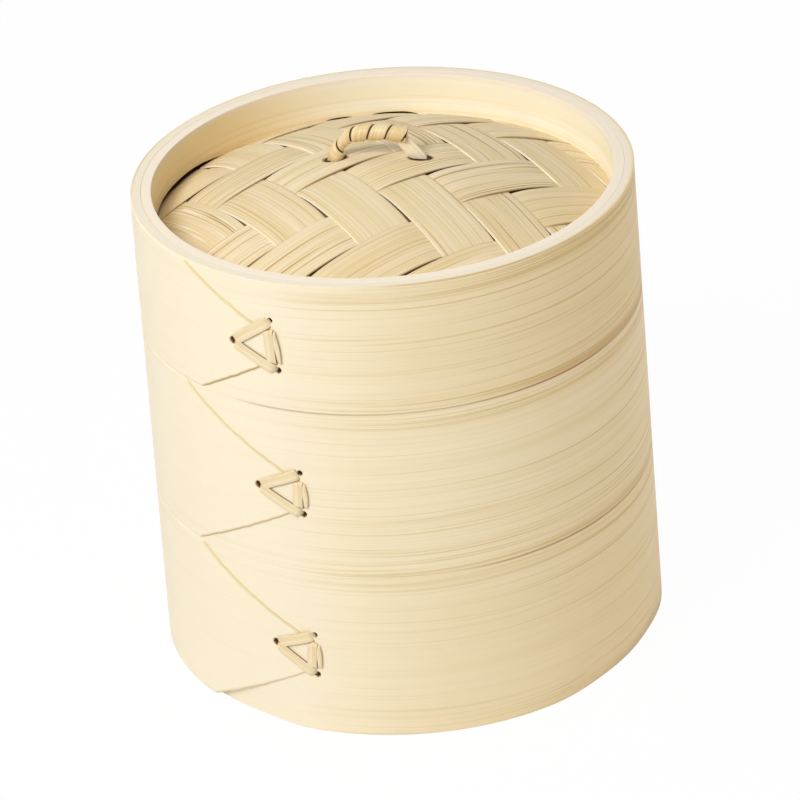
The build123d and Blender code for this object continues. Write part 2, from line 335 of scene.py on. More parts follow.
def linear(colour):
    """Linear RGBA of an sRGB hex colour."""
    level = np.array([int(colour[k : k + 2], 16) for k in (1, 3, 5)]) / 255
    value = np.where(level <= 0.04045, level / 12.92, ((level + 0.055) / 1.055) ** 2.4)
    return (*value.tolist(), 1.0)


def smooth(value, low, high):
    """Smooth step from 0 at low to 1 at high."""
    share = np.clip((value - low) / (high - low), 0, 1)
    return share * share * (3 - 2 * share)


def reach(node):
    """Lowest height, highest height and greatest X of a CAD node."""
    low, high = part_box(node)
    return low.z / MM, high.z / MM, high.x / MM


# Materials


def add(tree, kind, inputs=None, output=0, **settings):
    """Adds a node of that kind and gives one of its outputs. Settings are its properties, and inputs maps
    each input to a value or to another node's output."""
    node = tree.nodes.new(kind)
    for name, value in settings.items():
        setattr(node, name, value)
    for key, value in (inputs or {}).items():
        if isinstance(value, bpy.types.NodeSocket):
            tree.links.new(value, node.inputs[key])
        else:
            node.inputs[key].default_value = value
    return node.outputs[output] if node.outputs else None


def new_material(name):
    """Empty node material."""
    made = bpy.data.materials.new(name)
    made.use_nodes = True
    made.node_tree.nodes.clear()
    return made, made.node_tree


def from_axis(tree, place):
    """Distance of each point from the basket's axis, which gives the rims rings and the walls level
    lines."""
    flat = add(tree, "ShaderNodeVectorMath", {0: place, 1: (1, 1, 0)}, operation="MULTIPLY")
    return add(tree, "ShaderNodeVectorMath", {0: flat}, "Value", operation="LENGTH")


def fibres(tree, place, lengths, low, high, most=1.0, ring=None, crowd=None, detail=1.0):
    """Share of fibre at each point: noise stretched along the fibres, and a smooth step from 0 at low to
    most at high. lengths are the size of one spot along each axis of place, in millimetres. ring is a
    fourth coordinate with the last length, and crowd is added to the noise, so that more fibres show
    where it is high."""
    scale = tuple(1 / (length * MM) for length in lengths)
    inputs = {"Scale": 1.0, "Detail": detail, "Roughness": 0.5}
    inputs["Vector"] = add(tree, "ShaderNodeVectorMath", {0: place, 1: scale}, operation="MULTIPLY")
    if ring:
        inputs["W"] = add(tree, "ShaderNodeMath", {0: ring, 1: scale[2]}, operation="MULTIPLY")
    noise = add(tree, "ShaderNodeTexNoise", inputs, "Fac", noise_dimensions="4D" if ring else "3D")
    if crowd:
        noise = add(tree, "ShaderNodeMath", {0: noise, 1: crowd}, operation="ADD")
    steps = {"Value": noise, "From Min": low, "From Max": high, "To Min": 0.0, "To Max": most}
    return add(tree, "ShaderNodeMapRange", steps, interpolation_type="SMOOTHSTEP")


def coated(tree, colour, *coats):
    """Colour with coats laid over it in turn. Each coat is a share, as an output or as the name of a mark
    on the mesh, and the colour that shows where that share is 1."""
    colour = linear(colour)
    for share, coat in coats:
        if isinstance(share, str):
            share = add(tree, "ShaderNodeAttribute", output="Fac", attribute_name=share)
        inputs = {MIX_SHARE: share, MIX_FIRST: colour, MIX_SECOND: linear(coat)}
        colour = add(tree, "ShaderNodeMix", inputs, MIX_COLOUR, data_type="RGBA")
    return colour


def finish_bamboo(tree, colour, relief, depth, roughness, shine=0.35):
    """Waxy, fibrous surface with shallow relief along the fibres."""
    heights = {"Height": relief, "Strength": RELIEF_STRENGTH, "Distance": depth * MM}
    normal = add(tree, "ShaderNodeBump", heights)
    inputs = {"Base Color": colour, "Roughness": roughness, "Normal": normal}
    inputs.update({"IOR": BAMBOO_IOR, "Specular IOR Level": shine})
    shader = add(tree, "ShaderNodeBsdfPrincipled", inputs)
    add(tree, "ShaderNodeOutputMaterial", {"Surface": shader})


def planed_bamboo_hoop():
    """Bamboo culm split, planed and bent: plain cream skin, with thin golden fibre lines that crowd at
    the edges."""
    made, tree = new_material("planed_bamboo_hoop")
    place = add(tree, "ShaderNodeTexCoord", output="Object")
    ring = from_axis(tree, place)
    drift = fibres(tree, place, (75, 75, 30), 0.2, 0.8, 1.0 * MM)
    rise = add(tree, "ShaderNodeCombineXYZ", {"Z": drift})
    bent = add(tree, "ShaderNodeVectorMath", {0: place, 1: rise}, operation="ADD")
    edge = add(tree, "ShaderNodeAttribute", output="Fac", attribute_name="edge")
    lined = add(tree, "ShaderNodeAttribute", output="Fac", attribute_name="lined")
    faint = add(tree, "ShaderNodeMath", {0: lined, 1: 0.2}, operation="MULTIPLY")
    firm = add(tree, "ShaderNodeMath", {0: lined, 1: 0.6}, operation="MULTIPLY")
    crowd = add(tree, "ShaderNodeMath", {0: edge, 1: 0.11}, operation="MULTIPLY")
    bands = fibres(tree, bent, (160, 160, 6), 0.35, 0.65, 1.0, ring)
    gold = fibres(tree, bent, (160, 160, 1.1), 0.55, 0.95, firm, ring, crowd)
    haze = fibres(tree, bent, (120, 120, 0.5), 0.45, 0.7, faint, ring, crowd)
    lines = fibres(tree, bent, (260, 260, 0.75), 0.65, 0.71, firm, ring, crowd)
    threads = fibres(tree, bent, (90, 90, 0.5), 0.65, 0.7, firm, ring, crowd)
    skin = coated(
        tree,
        "#F5E4BE",
        (bands, "#F2E0B6"),
        ("bare", "#F4E8CE"),
        # painted shade: a golden tint over the right side, away from the key lamp
        ("warm", "#E3C07A"),
        (gold, "#DFC175"),
        (haze, "#D8BA6E"),
        (lines, "#CDAA60"),
        (threads, "#D2B36A"),
        # painted shade: a brown band along the foot on the right
        ("foot_band", "#C99F60"),
        ("cut", "#F4E8D2"),
        # painted highlight along the lap's upper edge
        ("upper_lip", "#DDCB92"),
        # painted shadow under the lap's lower edge
        ("lower_lip", "#BC9C54"),
        # painted shadow along the upper edge: in the joint under the hoop above, and on the lid's rim
        # corner
        ("seam", "#9A6426"),
        # painted shade in the lacing holes and on the bore behind the weave's edge
        ("hole", "#66380F"),
    )
    finish_bamboo(tree, skin, threads, -0.06, 0.5)
    return made


def bent_bamboo_liner():
    """Inner side of the culm, scraped smooth: soft gold with faint long fibres, and painted shade that
    makes it a deeper gold on the left.
    """
    made, tree = new_material("bent_bamboo_liner")
    place = add(tree, "ShaderNodeTexCoord", output="Object")
    ring = from_axis(tree, place)
    bands = fibres(tree, place, (150, 150, 7), 0.35, 0.65, 1.0, ring)
    strands = fibres(tree, place, (120, 120, 1.0), 0.52, 0.7, 0.22, ring)
    # golden is painted shade that turns the liner's left wall, away from the key lamp, a deeper gold
    coats = [(bands, "#FCF4DA"), ("golden", "#FAE4B2"), (strands, "#DDBE7A"), ("cut", "#F9EBD6")]
    skin = coated(tree, "#FEFAEB", *coats)
    finish_bamboo(tree, skin, strands, -0.08, 0.48)
    return made


def split_bamboo_floor(name, lengths, fine):
    """Split bamboo lath, sawn and sanded: straight fibres along its length. lengths and fine set which
    way they run."""
    made, tree = new_material(name)
    place = add(tree, "ShaderNodeTexCoord", output="Object")
    bands = fibres(tree, place, lengths, 0.32, 0.68)
    strands = fibres(tree, place, fine, 0.55, 0.72, 0.6, detail=2.0)
    skin = coated(tree, "#F2DFB4", (bands, "#E4C88E"), (strands, "#C49E60"))
    finish_bamboo(tree, skin, strands, -0.15, 0.55)
    return made


def woven_bamboo_strip():
    """Thin split bamboo, unpolished: straw coloured, with close lengthwise fibres and pale cut edges, and
    painted shade where a strip dips, along the weft's edges, at the ends and in the slots for the legs.
    """
    made, tree = new_material("woven_bamboo_strip")
    place = add(tree, "ShaderNodeUVMap", uv_map="fibre")
    streak = add(tree, "ShaderNodeAttribute", output="Fac", attribute_name="streak")
    bands = fibres(tree, place, (90, 6, 1), 0.32, 0.68)
    haze = fibres(tree, place, (70, 0.5, 1), 0.4, 0.7, 0.35)
    dark = fibres(tree, place, (110, 0.75, 1), 0.585, 0.66, streak)
    pale = fibres(tree, place, (60, 0.8, 1), 0.6, 0.68, streak, detail=2.0)
    skin = coated(
        tree,
        "#F3E2C0",
        (bands, "#E9D5A7"),
        ("tone", "#E2CA9C"),
        (haze, "#D2B57C"),
        (dark, "#B89258"),
        (pale, "#F8ECD4"),
        ("cut", "#FBF1DC"),
        ("shade", "#82581F"),
        # painted shade in the slots for the handle's legs
        ("hole", "#461D00"),
    )
    finish_bamboo(tree, skin, pale, 0.1, 0.52, 0.15)
    return made


def split_cane(name, light, deep, line):
    """Flat split cane with its glossy bark left on: warm straw with fine lengthwise lines, and painted
    shade along a strand's dark edge and on the core between the winding's turns."""
    made, tree = new_material(name)
    place = add(tree, "ShaderNodeUVMap", uv_map="fibre")
    bands = fibres(tree, place, (14, 1.6, 1), 0.32, 0.68)
    hairs = fibres(tree, place, (20, 0.45, 1), 0.55, 0.72, 0.5, detail=2.0)
    # shade is painted shade along a dark edge, and hole is painted shade on the core between the
    # winding's turns
    coats = [(bands, deep), (hairs, line), ("shade", "#8A6234"), ("hole", "#33210C")]
    skin = coated(tree, light, *coats)
    finish_bamboo(tree, skin, hairs, -0.1, 0.4)
    return made


# Meshes


def sweep(rings, along, across, loop=False, **marks):
    """Closed section carried along a path: each ring of points is joined to the next one. A loop joins
    the last ring to the first; otherwise a flat face closes each end. Faces are turned to point outwards,
    by the sign of the volume that they enclose. along and across are the fibre map's coordinates, with
    one more value than points in a closed direction. Each mark is a value at every point, spread over the
    rings."""
    count, width = rings.shape[:2]
    steps = np.arange(count if loop else count - 1)
    row, column = (grid.ravel() for grid in np.meshgrid(steps, np.arange(width), indexing="ij"))
    corners = [(row, column), (row, column + 1), (row + 1, column + 1), (row + 1, column)]
    faces = np.stack([i % count * width + j % width for i, j in corners], axis=1)
    fibre = np.stack([np.stack([along[i], across[j]], axis=-1) for i, j in corners], axis=1)
    points = rings.reshape(-1, 3)
    first, second, third, fourth = (points[faces[:, k]] for k in range(4))
    volume = np.sum(first * np.cross(second, third)) + np.sum(first * np.cross(third, fourth))
    ends = []
    if not loop:
        ends = [np.arange(width)[::-1], np.arange(width) + (count - 1) * width]
        fans = [np.cross(points[end[1:-1]], points[end[2:]]) for end in ends]
        volume += sum(np.sum(points[end[0]] * fan) for end, fan in zip(ends, fans))
    if volume < 0:
        faces = faces[:, ::-1]
        fibre = fibre[:, ::-1]
        ends = [end[::-1] for end in ends]
    spread = {name: np.broadcast_to(value, (count, width)).ravel() for name, value in marks.items()}
    end_fibre = [np.stack([along[end // width], across[end % width]], axis=-1) for end in ends]
    return points, faces, ends, np.concatenate([fibre.reshape(-1, 2), *end_fibre]), spread


def make_piece(name, sweeps, body, slot, material, *nodes):
    """Mesh object of one or more sweeps, riding on its body in place of the CAD nodes named."""
    points, faces, fibre, smooth_faces = [], [], [], []
    names = sorted({mark_name for *_, spread in sweeps for mark_name in spread})
    marks = {mark_name: [] for mark_name in names}
    start = 0
    for vertices, quads, ends, coordinates, spread in sweeps:
        points.append(vertices)
        faces += (quads + start).tolist() + [(end + start).tolist() for end in ends]
        smooth_faces += [True] * len(quads) + [False] * len(ends)
        fibre.append(coordinates)
        for mark_name in names:
            marks[mark_name].append(spread.get(mark_name, np.zeros(len(vertices))))
        start += len(vertices)
    mesh = bpy.data.meshes.new(name)
    mesh.from_pydata((np.concatenate(points) * MM).tolist(), [], faces)
    mesh.polygons.foreach_set("use_smooth", smooth_faces)
    layer = mesh.uv_layers.new(name="fibre")
    layer.data.foreach_set("uv", (np.concatenate(fibre) * MM).ravel())
    for mark_name in names:
        attribute = mesh.attributes.new(mark_name, "FLOAT", "POINT")
        attribute.data.foreach_set("value", np.concatenate(marks[mark_name]).astype(np.float32))
    mesh.materials.append(material)
    mesh.update()
    made = bpy.data.objects.new(name, mesh)
    bpy.context.scene.collection.objects.link(made)
    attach(made, body)
    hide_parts(*nodes)
    return made


def on_hoop(radius, angle, height):
    """Points at a radius, an angle and a height."""
    turn = np.radians(angle)
    return np.stack(np.broadcast_arrays(radius * np.cos(turn), radius * np.sin(turn), height), axis=-1)


def frames_along(path, outward):
    """Unit vectors across each point of a path: away from the surface, and sideways along it."""
    way = np.gradient(path, axis=0)
    way /= np.linalg.norm(way, axis=1, keepdims=True)
    away = outward - np.sum(outward * way, axis=1, keepdims=True) * way
    away /= np.linalg.norm(away, axis=1, keepdims=True)
    return away, np.cross(way, away)


def lengths_along(path):
    """Distance along a path at each of its points."""
    return np.concatenate([[0], np.cumsum(np.linalg.norm(np.diff(path, axis=0), axis=1))])


# Hoops


def lap_half_length(height):
    """Half the length of the lap's taper, which falls at the lap's half angle from both edges to the
    tip."""
    return (height - LAP_TIP_WIDTH) / 4 / np.tan(np.radians(LAP_HALF_ANGLE))


def hole_share(angle, height, radius, places):
    """1 inside a lacing hole and 0 away from it: a flat-bottomed bell round each place."""
    share = 0
    for (place, level), size in zip(places, LACE_HOLE_RADII):
        distance = np.hypot(np.radians(angle - place) * radius, height - level)
        share = np.maximum(share, np.exp(-((distance / size) ** LACE_HOLE_POWER)))
    return share


def closer(values, places, reach_each_side, step):
    """Sorted values with finer steps added round each place."""
    fine = [np.arange(place - reach_each_side, place + reach_each_side, step) for place in places]
    return np.unique(np.round(np.concatenate([values, *fine]), 4))


def hoop_section(radius, bore, low, high, eases, wall):
    """Closed section of a hoop: up the outer face through the wall's heights, over the top, down the bore
    and under the bottom, with a quarter circle at each corner. Gives radii, heights and each point's
    side: 0 for the outer face, then on through the corners and faces to 7 for the lower outer corner."""
    outer, inner = eases
    bend = np.radians(np.linspace(0, 90, CORNER_POINTS))
    across = np.linspace(radius - outer, bore + inner, RIM_POINTS)[1:-1]
    down = np.arange(high - inner, low + inner, -2 * WALL_STEP)[1:-1]
    corners = [(radius - outer, high - outer, outer), (bore + inner, high - inner, inner)]
    corners += [(bore + inner, low + inner, inner), (radius - outer, low + outer, outer)]
    turned = []
    for number, (centre, level, ease) in enumerate(corners):
        turn = bend + number * np.pi / 2
        turned.append((centre + ease * np.cos(turn), level + ease * np.sin(turn)))
    rim = (across, np.full_like(across, high))
    foot = (across[::-1], np.full_like(across, low))
    sides = [(np.full_like(wall, radius), wall), turned[0], rim, turned[1]]
    sides += [(np.full_like(down, bore), down), turned[2], foot, turned[3]]
    radii = np.concatenate([side[0] for side in sides])
    heights = np.concatenate([side[1] for side in sides])
    return radii, heights, np.repeat(np.arange(len(sides)), [len(side[0]) for side in sides])


def tapered(radius, height, low, high):
    """Radius of an outer hoop at a height: it grows evenly downwards, so that stacked hoops run on
    smoothly."""
    return radius + HOOP_TAPER * ((low + high) / 2 - height)


def bells(angle, places):
    """Sum of flat-topped bells round a hoop: each is its size times exp of minus the fourth power of the
    angle from its middle over half its width."""
    return sum(size * np.exp(-(((angle - middle) / half) ** 4)) for middle, half, size in places)


def hoop_sweep(radius, bore, low, high, eases, phase, places=(), skin=None, slits=(), seam=None):
    """Bent hoop: its section carried round the axis, with slow sine waves in the outer face and the rim,
    and flat-bottomed dimples at the lacing holes. An outer hoop widens downwards and is pressed in near
    the table by a bell at each dent, and a liner's lower edge may rise in a bell at each slit."""
    crest = high - eases[0] - SEAM_REACH
    levels = np.append(np.arange(low + eases[0], crest, WALL_STEP)[1:], crest)
    wall = closer(levels, [place[1] for place in places], *FINE_WALL)
    steps = np.arange(-180, 180, HOOP_STEP)
    angle = closer(steps, [place[0] for place in places], *FINE_TURN)[:, None]
    radii, heights, side = hoop_section(radius, bore, low, high, eases, wall)
    outer = side == 0
    top = np.isin(side, (1, 2, 3))
    turn = np.radians(angle)
    hole = hole_share(angle, heights, radius, places) * outer
    second = np.sin(WALL_SWELLS[1] * turn + 2 * phase + heights / WALL_LEAN)
    wave = WALL_WAVE * (np.sin(WALL_SWELLS[0] * turn + phase) + WALL_SECOND * second)
    rim = np.sin(RIM_SWELLS[0] * turn + RIM_LAG * phase) + np.sin(RIM_SWELLS[1] * turn + phase)
    rim = RIM_WAVE * rim * top
    if skin:
        radii = radii + (tapered(radius, heights, low, high) - radius) * (radii - bore) / (radius - bore)
    dent = bells(angle, FOOT_DENTS if skin else ()) * np.exp(-((heights / FOOT_DENT_HEIGHT) ** 2))
    dent = dent * (radii - bore) / (radius - bore)
    hem = bells(angle, slits) * np.clip(1 - (heights - low) / LINER_FADE, 0, 1)
    rings = on_hoop(radii + wave * outer - LACE_HOLE_DEPTH * hole - dent, angle, heights + rim + hem)
    # Painted shade on the bore behind the weave's edge
    weave_edge_shade = (side == 4) * (np.abs(heights - DOME_EDGE) < WEAVE_SHADOW)
    around = np.append(angle[:, 0], angle[0, 0] + 360) * np.pi / 180 * radius
    outline = np.concatenate([[0], np.cumsum(np.hypot(np.diff(radii), np.diff(heights)))])
    outline = np.append(outline, outline[-1] + 1)
    bare_cut = smooth(radius - radii, *SKIN_DEPTHS) if skin else 1.0
    return sweep(
        rings,
        around,
        outline,
        True,
        cut=np.isin(side, (2, 3, 6)) * bare_cut,
        # Painted shadow along the upper outer corner
        seam=(side == 1) * (seam_shadow_share(angle, *seam) if seam else 0.0),
        # painted shade in the lacing holes and on the bore behind the weave's edge
        hole=np.maximum(smooth(hole, *LACE_HOLE_SHADE), weave_edge_shade),
        **(skin_marks(angle, heights, low, high, **skin) if skin else left_shade_mark(angle)),
    )


def seam_shadow_share(angle, start, fade, weight):
    """How dark the painted shadow along a hoop's upper edge is: half the weight from the start on, all of
    it on the front right, and less further on until it has faded."""
    rise = smooth(angle, start - SEAM_EASE, start + SEAM_EASE) + smooth(angle, *SEAM_FULL)
    thin = 1 - SEAM_LOSS * smooth(angle, *SEAM_THIN)
    return weight / 2 * rise * thin * (1 - smooth(angle, *fade))


def left_shade_mark(angle):
    """Mark of painted shade that turns a liner a deeper gold on the left."""
    return {"golden": smooth(angle, *LEFT_SHADE_COMES) + 1 - smooth(angle, *LEFT_SHADE_GOES)}


def skin_marks(angle, heights, low, high, lap, foot, band, warm):
    """Marks of an outer hoop's skin. Fibre lines crowd below its upper edge and over its foot, and hardly
    show round the lap, where the skin is bare. On the right, painted shade lays a brown band along the
    foot and makes the skin warmer."""
    away = (angle - lap + 180) % 360 - 180
    gone = sum(share * smooth(away, *place) for place, share in BARE_GOES)
    bare = BARE_MOST * smooth(away, *BARE_COMES) * (1 - gone)
    crown = np.exp(-(((high - heights - LINE_DEPTH) / LINE_SPREAD) ** 2))
    turned = (angle + 180) % 360 - 180
    front = 1 - smooth(turned, *BACK)
    hem = np.exp(-(((heights - low) / FOOT_SHADE_HEIGHT) ** 2))
    return {
        "edge": np.maximum(crown, foot * np.exp(-(heights - low) / FOOT_SPREAD)),
        # Painted shade on the right: a brown band along the foot and a golden tint
        "foot_band": band * hem * smooth(turned, *FOOT_SHADE_COMES) * front,
        "warm": warm * smooth(turned, *WARM_COMES) * front,
        "bare": bare,
        "lined": (1 - bare) * (LINED_LEAST + (1 - LINED_LEAST) * foot),
    }


def tongue_sweep(radius, low, high, places, leads, brown, skin):
    """Pointed end of the hoop's strip: a slab on the hoop whose height is full up to the taper and then
    falls evenly to the blunt tip. Its outer face stands off by the lap's rise in the middle of the lap,
    and less by a cosine of the angle, so it grows out of the hoop on the left. Sine waves make its
    tapered edges ragged."""
    angle = skin["lap"]
    half = np.degrees(lap_half_length(high - low) / radius)
    turn = closer(np.arange(angle - LAP_TAIL, angle + half, HOOP_STEP), [places[0][0]], *FINE_TURN)
    turn = np.append(turn[turn < angle + half - LAP_LAST_STEP], angle + half)[:, None]
    upper_start, lower_start = np.degrees(np.array(leads) / radius) + half
    upper_taper = np.clip((turn - angle + upper_start) / (half + upper_start), 0, 1)
    taper = np.clip((turn - angle + lower_start) / (half + lower_start), 0, 1)
    fall = (high - low - LAP_TIP_WIDTH) / 2
    top = high - LAP_EASE - LAP_INSET - (fall + LAP_TIP_DROP) * upper_taper
    bottom = low + LAP_EASE + LAP_INSET + (fall - LAP_TIP_DROP) * taper
    middle = (top + bottom) / 2
    reach_up = (top - bottom) / 2
    fine = np.linspace(-LAP_MIDDLE, LAP_MIDDLE, LAP_MIDDLE_POINTS)
    share = np.unique(np.round(np.concatenate([np.linspace(-1, 1, LAP_POINTS), fine]), 5))
    bow = np.radians(turn - angle)
    ragged = sum(np.sin(count * bow + phase) for count, phase in LAP_TEETH)
    reach_up = reach_up + LAP_RAGGED * ragged * (taper > 0)
    rise = (LAP_RISE + LAP_SINK) * np.cos(bow) - LAP_SINK
    face = middle + share * reach_up
    hole = hole_share(turn, face, radius, places)
    outer = tapered(radius, face, low, high) + rise - LACE_HOLE_DEPTH * hole
    ends = np.array([1.0, -1.0])
    lip_height = middle + ends * (reach_up + LAP_EASE)
    lip = tapered(radius, lip_height, low, high) + rise - LAP_EASE
    root = lip - LAP_ROOT
    radii = np.concatenate([outer, lip[:, :1], root, lip[:, 1:]], axis=1)
    heights = np.concatenate([face, lip_height[:, :1], lip_height, lip_height[:, 1:]], axis=1)
    rings = on_hoop(radii, turn, heights)
    plain = np.zeros((len(turn), 4))
    # Painted highlight along the upper edge, and painted shadow under the lower edge
    upper_lip = smooth(upper_taper, 0.0, LAP_LIP_START)
    lower_lip = smooth(taper, 0.0, LAP_LIP_START) * brown
    reach_in = np.where(share > 0, LAP_BAND, LAP_LOWER_BAND)
    band = np.exp(-(((1 - np.abs(share)) * reach_up / reach_in) ** 2))
    return sweep(
        rings,
        np.radians(turn[:, 0]) * radius,
        np.arange(rings.shape[1] + 1.0),
        # painted shade in the lacing holes
        hole=np.concatenate([smooth(hole, *LACE_HOLE_SHADE), plain], axis=1),
        upper_lip=np.concatenate([band * upper_lip * (share > 0), plain + upper_lip], axis=1),
        lower_lip=np.concatenate([band * lower_lip * (share < 0), plain], axis=1),
        **skin_marks(turn, heights, low, high, **skin),
    )


def flat_section(width, thickness, count=CANE_POINTS):
    """Section of a flat strand: a superellipse, so that its faces are flat and its edges round."""
    turn = np.linspace(0, 2 * np.pi, count, endpoint=False)
    side = np.sign(np.cos(turn)) * np.abs(np.cos(turn)) ** FLAT_EDGE_POWER
    face = np.sign(np.sin(turn)) * np.abs(np.sin(turn)) ** FLAT_FACE_POWER
    return side * width / 2, face * thickness / 2


def moved(place, radius, offset):
    """Place on a hoop, moved along it and upwards."""
    return place[0] + np.degrees(offset[0] / radius), place[1] + offset[1]


def strand_sweep(first, second, radius, width, lift, dark_side, pointed=0.0):
    """Flat strand on the hoop from one hole to another. It stops short of the holes' middles, and its
    height over the hoop is the lift less a sudden dip near each end. A pointed strand's width is a half
    sine wave. The edge on its dark side is in shade."""
    span = np.hypot(np.radians(second[0] - first[0]) * radius, second[1] - first[1])
    inset = LACE_SHORT / span
    share = np.linspace(inset, 1 - inset, LACE_POINTS)
    angle = first[0] + (second[0] - first[0]) * share
    height = first[1] + (second[1] - first[1]) * share
    nearest = span * (np.minimum(share, 1 - share) - inset)
    over = lift - LACE_HOLE_DEPTH * np.exp(-((nearest / LACE_DIP) ** LACE_DIP_POWER))
    path = on_hoop(radius + over, angle, height)
    away, sideways = frames_along(path, on_hoop(1.0, angle, np.zeros_like(angle)))
    side, face = flat_section(width, LACE_THICKNESS)
    swell = 1 - pointed + pointed * np.sin(np.pi * np.linspace(*LACE_LENS_ENDS, len(share)))[:, None]
    rings = path[:, None] + (side * swell)[..., None] * sideways[:, None] + face[:, None] * away[:, None]
    shade = smooth(side * dark_side, LACE_SHADE * width, width / 2)
    return sweep(rings, lengths_along(path), np.append(side, side[0]), shade=shade)


def dress_hoop(prefix, material, cane):
    """Outer hoop with its tongue, and the lacing that ties it down."""
    low, high, radius = reach(f"{prefix}_outer_hoop")
    skin = SKINS[prefix]
    places = [moved((skin["lap"], (low + high) / 2), radius, offset) for offset in LACE_HOLES[prefix]]
    left, lower, upper = places
    lower_drop, upper_drop = EDGE_DROPS[prefix]
    low -= lower_drop
    high -= upper_drop
    body = BODIES[prefix]
    eases = (OPEN_EASE, PRESSED_EASE)
    looks = {"places": places, "skin": skin, "seam": SEAM_SHADOWS[prefix]}
    hoop = hoop_sweep(radius, HOOP_BORE, low, high, eases, PHASES[prefix], **looks)
    tongue = tongue_sweep(radius, low, high, places, LAP_LEADS[prefix], LAP_LIP_SHADOWS[prefix], skin)
    make_piece(f"{prefix}_hoop", [hoop, tongue], body, "hoop_bamboo", material, f"{prefix}_outer_hoop")
    lift = LAP_RISE + LACE_THICKNESS / 2
    band = [moved(place, radius, offset) for place, offset in zip((upper, lower), LACE_BAND)]
    lens = [moved(place, radius, offset) for place, offset in zip((upper, lower), LACE_LENS)]
    strands = [
        strand_sweep(*lens, radius, LACE_LENS_WIDTH, lift, 1, 1.0),
        strand_sweep(*band, radius, LACE_BAND_WIDTH, lift, -1),
        strand_sweep(left, lower, radius, LACE_WIDTH, lift, -1),
        strand_sweep(left, upper, radius, LACE_WIDTH, lift, 1),
    ]
    make_piece(f"{prefix}_lacing", strands, body, "cane", cane, f"{prefix}_lap_stitch")


def dress_liner(prefix, name, material, drop=0.0, slits=(), raised=0.0):
    """Liner hoop, smooth on both faces. Its lower edge may reach further down and rise at slits, and its
    upper edge may be raised."""
    node = f"{prefix}_{name}"
    low, high, radius = reach(node)
    low -= drop
    high += raised
    eases = (PRESSED_EASE, OPEN_EASE)
    liner = hoop_sweep(radius, LINER_BORE, low, high, eases, PHASES[prefix], slits=slits)
    make_piece(f"{node}_bent", [liner], BODIES[prefix], "liner_bamboo", material, node)


# Woven dome


def dome_height(u, v):
    """Height of the middle of the weave: a paraboloid over the plan."""
    return DOME_EDGE + DOME_RISE * (1 - (u * u + v * v) / LINER_BORE**2)


def float_level(place, start):
    """Height of a strip over the middle of the weave: a flattened sine wave, up over two strips and down
    under two, that crosses zero at the start of a float."""
    wave = STRIP_FLATNESS * np.sin(np.pi * (place - start) / (2 * STRIP_PITCH))
    return STRIP_LIFT * wave / np.sqrt(1 + wave * wave)


def strip_section():
    """Section of a strip as shares of its width and thickness, and which points lie on its cut edges."""
    middle = np.linspace(-STRIP_FACE, STRIP_FACE, STRIP_FACE_POINTS)
    face = np.concatenate([[-STRIP_SIDE], middle, [STRIP_SIDE]])
    flat = np.full_like(face, 0.5)
    edge = np.array([STRIP_EDGE, -STRIP_EDGE])
    share = np.concatenate([face, [0.5, 0.5], face[::-1], [-0.5, -0.5]])
    depth = np.concatenate([flat, edge, -flat, -edge])
    return share, depth, (np.abs(share) == 0.5) * 1.0


def foot_sink(x, y):
    """1 in the two slots where the handle's legs pass through the weave, a little in front of each
    leg."""
    turn = np.radians(HANDLE_TURN)
    share = 0
    for foot in HANDLE_FEET:
        along = (x - foot * np.cos(turn)) / FOOT_HOLE_LENGTH
        ahead = (y - HANDLE_SHIFT - foot * np.sin(turn) + FOOT_HOLE_FORWARD) / FOOT_HOLE_WIDTH
        share = np.maximum(share, np.exp(-(np.hypot(along, ahead) ** FOOT_HOLE_POWER)))
    return share


def slow_wave(station, wave, phase):
    """Sine wave along a strip, of a size and a number of radians to half its length."""
    size, count = wave
    return size * np.sin(count * station + phase)


def strip_sweep(offset, start, turned):
    """Split strip: its section carried over the dome along one direction of the weave, at an offset in
    the other, and ended on the circle of the hoop. turned says that it runs along the warp."""
    share, depth, cut = strip_section()
    station = np.linspace(-1, 1, STRIP_STATIONS)[:, None]
    phases = random.uniform(0, 2 * np.pi, 4)
    limit = WEAVE_CLIP - WEAVE_CLIP_MARGIN
    width = STRIP_WIDTH * (1 + slow_wave(station, WIDTH_WAVE, phases[0]))
    sway = slow_wave(station, SWAY_WAVE, phases[1])
    across = np.clip(offset + sway + share * width, -limit, limit)
    along = station * np.sqrt(WEAVE_CLIP**2 - across**2)
    crown = -STRIP_CROWN * (2 * share) ** 2 + slow_wave(station, TWIST_WAVE, phases[2]) * share
    distance = np.hypot(along, across)
    pressed = 1 - STRIP_PRESSED * smooth(distance, LINER_BORE - STRIP_PRESSED_RIM, LINER_BORE)
    level = float_level(along, start) * pressed
    height = dome_height(along, across) + level + crown + depth * STRIP_THICKNESS
    turn = np.radians(WEAVE_ANGLE + (90 if turned else 0))
    side = -1 if turned else 1
    x = along * np.cos(turn) - side * across * np.sin(turn)
    y = along * np.sin(turn) + side * across * np.cos(turn)
    hole = foot_sink(x, y)
    rings = np.stack([x, y, height - FOOT_HOLE_DEPTH * hole], axis=-1)
    dips = smooth(-level, *DIP_SHADE) * DIP_DARKNESS
    edges = WEFT_EDGE_DARKNESS * cut * (not turned)
    ends = smooth(distance, LINER_BORE, LINER_BORE + STRIP_END_SHADE)
    shift = random.uniform(0, STRIP_FIBRE_SHIFT)
    return sweep(
        rings,
        station[:, 0] * WEAVE_CLIP + shift,
        np.append(share, share[0]) * STRIP_WIDTH + shift,
        tone=np.full((1, 1), random.uniform(*STRIP_TONES)),
        streak=np.full((1, 1), random.uniform(*STRIP_STREAKS)),
        cut=cut * turned * np.ones_like(station),
        # painted shade in the slots for the handle's legs
        hole=smooth(hole, *FOOT_HOLE_SHADE),
        shade=np.maximum(np.maximum(dips, edges), ends),
    )


